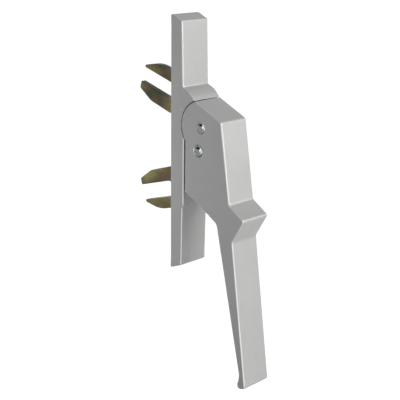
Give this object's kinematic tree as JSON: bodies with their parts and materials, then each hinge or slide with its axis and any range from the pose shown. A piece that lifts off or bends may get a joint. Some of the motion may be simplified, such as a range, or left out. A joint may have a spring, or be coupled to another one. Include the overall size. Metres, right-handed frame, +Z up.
{
  "type": "espagnolette handle",
  "caption": "Surface-mounted lever handle on a slim base; swinging the lever out turns a pair of forks behind the base towards each other to drive the rods of a window espagnolette.",
  "frame": {"origin": "middle of the base's rear face, halfway between the two mounting threads", "axes": "+Z up along the base, +Y out of the rear face into the window profile, the lever faces -Y"},
  "size_m": [0.022, 0.1012, 0.2212],
  "materials": {
    "silver_paint": "satin silver powder paint on die-cast metal",
    "plated_steel": "clear zinc plate",
    "yellow_zinc": "yellow passivated zinc plate, iridescent",
    "nickel": "bright nickel",
    "bronze": "sintered bronze",
    "brass": "turned",
    "black_rubber": "matt",
    "white_nylon": "matt"
  },
  "bodies": {
    "base": {"base_housing": "silver_paint", "back_plate": "plated_steel", "back_plate_screws": "plated_steel", "mounting_inserts": "brass", "stop_buffers": "black_rubber", "pivot_bushes": "bronze", "thrust_washers": "white_nylon", "upper_fork_axle": "plated_steel", "lower_fork_axle": "plated_steel", "upper_fork_spacers": "plated_steel", "lower_fork_spacers": "plated_steel"},
    "lever": {"lever": "silver_paint", "pivot_pin": "nickel", "crank_pin": "nickel", "crank_sleeves": "plated_steel", "friction_springs": "plated_steel"},
    "upper_fork": {"upper_fork": "yellow_zinc", "upper_fork_bush": "bronze"},
    "lower_fork": {"lower_fork": "yellow_zinc", "lower_fork_bush": "bronze"}
  },
  "joints": [
    {"name": "lever_swing", "type": "hinge", "parent": "base", "child": "lever", "pos_m": [0, -0.0251, 0.0142], "axis": [-1, 0, 0], "range_deg": [0, 85]},
    {"name": "upper_fork_turn", "type": "hinge", "parent": "base", "child": "upper_fork", "pos_m": [0, -0.0055, 0.0267], "axis": [-1, 0, 0], "range_deg": [0, 31.6]},
    {"name": "lower_fork_turn", "type": "hinge", "parent": "base", "child": "lower_fork", "pos_m": [0, -0.0055, -0.0267], "axis": [-1, 0, 0], "range_deg": [-31.6, 0]}
  ],
  "couplings": [
    {"joint": "upper_fork_turn", "follows": "lever_swing", "ratio": 0.3707},
    {"joint": "lower_fork_turn", "follows": "lever_swing", "ratio": -0.3707}
  ]
}
